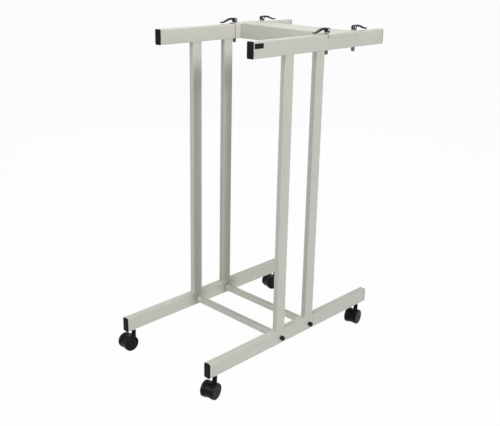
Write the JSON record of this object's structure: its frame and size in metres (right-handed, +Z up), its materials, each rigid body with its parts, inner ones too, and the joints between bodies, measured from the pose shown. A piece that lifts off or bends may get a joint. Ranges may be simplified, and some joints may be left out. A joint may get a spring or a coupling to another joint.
{
  "type": "plan hanging rack",
  "caption": "Mobile rack for hanging large drawings: welded tube side frames on swivel castors, tied by cross tubes and a folded bridge clamped to the arms with cam levers.",
  "frame": {"origin": "on the floor, under the middle of the outline of the rack seen from above", "axes": "+Z up; +Y to the rear, so the arms reach forward along -Y; +X to the right seen from the front"},
  "size_m": [0.484, 0.8196, 1.1089],
  "materials": {
    "powder_coat": "fine satin powder coat, warm light grey",
    "black_cap": "fine moulded grain",
    "black_plug": "plain moulded",
    "black_bolt": "black oxide, with a bright zinc washer under the head",
    "zinc": "bright zinc plate",
    "grey_alloy": "tumbled",
    "dark_steel": "dark satin plate",
    "black_alloy": "satin black coat",
    "castor_black": "satin nylon"
  },
  "bodies": {
    "frame": {"left_rail": "powder_coat", "left_rail_front_cap": "black_cap", "left_rail_rear_cap": "black_cap", "left_arm": "powder_coat", "left_arm_front_cap": "black_cap", "left_arm_rear_cap": "black_cap", "left_front_upright": "powder_coat", "left_rear_upright": "powder_coat", "right_rail": "powder_coat", "right_rail_front_cap": "black_cap", "right_rail_rear_cap": "black_cap", "right_arm": "powder_coat", "right_arm_front_cap": "black_cap", "right_arm_rear_cap": "black_cap", "right_front_upright": "powder_coat", "right_rear_upright": "powder_coat", "front_cross_tube": "powder_coat", "left_front_tube_plug": "black_plug", "left_front_tube_bolt": "black_bolt", "right_front_tube_plug": "black_plug", "right_front_tube_bolt": "black_bolt", "rear_cross_tube": "powder_coat", "left_rear_tube_plug": "black_plug", "left_rear_tube_bolt": "black_bolt", "right_rear_tube_plug": "black_plug", "right_rear_tube_bolt": "black_bolt", "bridge": "powder_coat", "left_front_skewer": "zinc", "left_front_cam_seat": "grey_alloy", "left_front_clamp_nut": "dark_steel", "left_rear_skewer": "zinc", "left_rear_cam_seat": "grey_alloy", "left_rear_clamp_nut": "dark_steel", "right_front_skewer": "zinc", "right_front_cam_seat": "grey_alloy", "right_front_clamp_nut": "dark_steel", "right_rear_skewer": "zinc", "right_rear_cam_seat": "grey_alloy", "right_rear_clamp_nut": "dark_steel", "left_front_castor_stem": "zinc", "left_rear_castor_stem": "zinc", "right_front_castor_stem": "zinc", "right_rear_castor_stem": "zinc"},
    "left_front_lever": {"left_front_cam_lever": "black_alloy"},
    "left_rear_lever": {"left_rear_cam_lever": "black_alloy"},
    "right_front_lever": {"right_front_cam_lever": "black_alloy"},
    "right_rear_lever": {"right_rear_cam_lever": "black_alloy"},
    "left_front_castor": {"left_front_castor_body": "castor_black"},
    "left_front_left_wheel": {"left_front_castor_left_wheel": "castor_black"},
    "left_front_right_wheel": {"left_front_castor_right_wheel": "castor_black"},
    "left_rear_castor": {"left_rear_castor_body": "castor_black"},
    "left_rear_left_wheel": {"left_rear_castor_left_wheel": "castor_black"},
    "left_rear_right_wheel": {"left_rear_castor_right_wheel": "castor_black"},
    "right_front_castor": {"right_front_castor_body": "castor_black"},
    "right_front_left_wheel": {"right_front_castor_left_wheel": "castor_black"},
    "right_front_right_wheel": {"right_front_castor_right_wheel": "castor_black"},
    "right_rear_castor": {"right_rear_castor_body": "castor_black"},
    "right_rear_left_wheel": {"right_rear_castor_left_wheel": "castor_black"},
    "right_rear_right_wheel": {"right_rear_castor_right_wheel": "castor_black"}
  },
  "joints": [
    {"name": "left_front_clamp_release", "type": "hinge", "parent": "frame", "child": "left_front_lever", "pos_m": [-0.2075, 0.12, 1.1017], "axis": [-1, 0, 0], "range_deg": [0, 160]},
    {"name": "left_rear_clamp_release", "type": "hinge", "parent": "frame", "child": "left_rear_lever", "pos_m": [-0.2075, 0.26, 1.1017], "axis": [1, 0, 0], "range_deg": [0, 160]},
    {"name": "right_front_clamp_release", "type": "hinge", "parent": "frame", "child": "right_front_lever", "pos_m": [0.2075, 0.12, 1.1017], "axis": [-1, 0, 0], "range_deg": [0, 160]},
    {"name": "right_rear_clamp_release", "type": "hinge", "parent": "frame", "child": "right_rear_lever", "pos_m": [0.2075, 0.26, 1.1017], "axis": [1, 0, 0], "range_deg": [0, 160]},
    {"name": "left_front_swivel", "type": "hinge", "parent": "frame", "child": "left_front_castor", "pos_m": [-0.2075, -0.355, 0.06], "axis": [0, 0, 1], "continuous": true},
    {"name": "left_front_left_roll", "type": "hinge", "parent": "left_front_castor", "child": "left_front_left_wheel", "pos_m": [-0.20834, -0.37899, 0.027], "axis": [0.9994, -0.0349, 0], "continuous": true},
    {"name": "left_front_right_roll", "type": "hinge", "parent": "left_front_castor", "child": "left_front_right_wheel", "pos_m": [-0.20834, -0.37899, 0.027], "axis": [0.9994, -0.0349, 0], "continuous": true},
    {"name": "left_rear_swivel", "type": "hinge", "parent": "frame", "child": "left_rear_castor", "pos_m": [-0.2075, 0.375, 0.06], "axis": [0, 0, 1], "continuous": true},
    {"name": "left_rear_left_roll", "type": "hinge", "parent": "left_rear_castor", "child": "left_rear_left_wheel", "pos_m": [-0.21331, 0.35171, 0.027], "axis": [0.9703, -0.2419, 0], "continuous": true},
    {"name": "left_rear_right_roll", "type": "hinge", "parent": "left_rear_castor", "child": "left_rear_right_wheel", "pos_m": [-0.21331, 0.35171, 0.027], "axis": [0.9703, -0.2419, 0], "continuous": true},
    {"name": "right_front_swivel", "type": "hinge", "parent": "frame", "child": "right_front_castor", "pos_m": [0.2075, -0.355, 0.06], "axis": [0, 0, 1], "continuous": true},
    {"name": "right_front_left_roll", "type": "hinge", "parent": "right_front_castor", "child": "right_front_left_wheel", "pos_m": [0.21331, -0.37829, 0.027], "axis": [0.9703, 0.2419, 0], "continuous": true},
    {"name": "right_front_right_roll", "type": "hinge", "parent": "right_front_castor", "child": "right_front_right_wheel", "pos_m": [0.21331, -0.37829, 0.027], "axis": [0.9703, 0.2419, 0], "continuous": true},
    {"name": "right_rear_swivel", "type": "hinge", "parent": "frame", "child": "right_rear_castor", "pos_m": [0.2075, 0.375, 0.06], "axis": [0, 0, 1], "continuous": true},
    {"name": "right_rear_left_roll", "type": "hinge", "parent": "right_rear_castor", "child": "right_rear_left_wheel", "pos_m": [0.21249, 0.35152, 0.027], "axis": [0.9781, 0.2079, 0], "continuous": true},
    {"name": "right_rear_right_roll", "type": "hinge", "parent": "right_rear_castor", "child": "right_rear_right_wheel", "pos_m": [0.21249, 0.35152, 0.027], "axis": [0.9781, 0.2079, 0], "continuous": true}
  ]
}
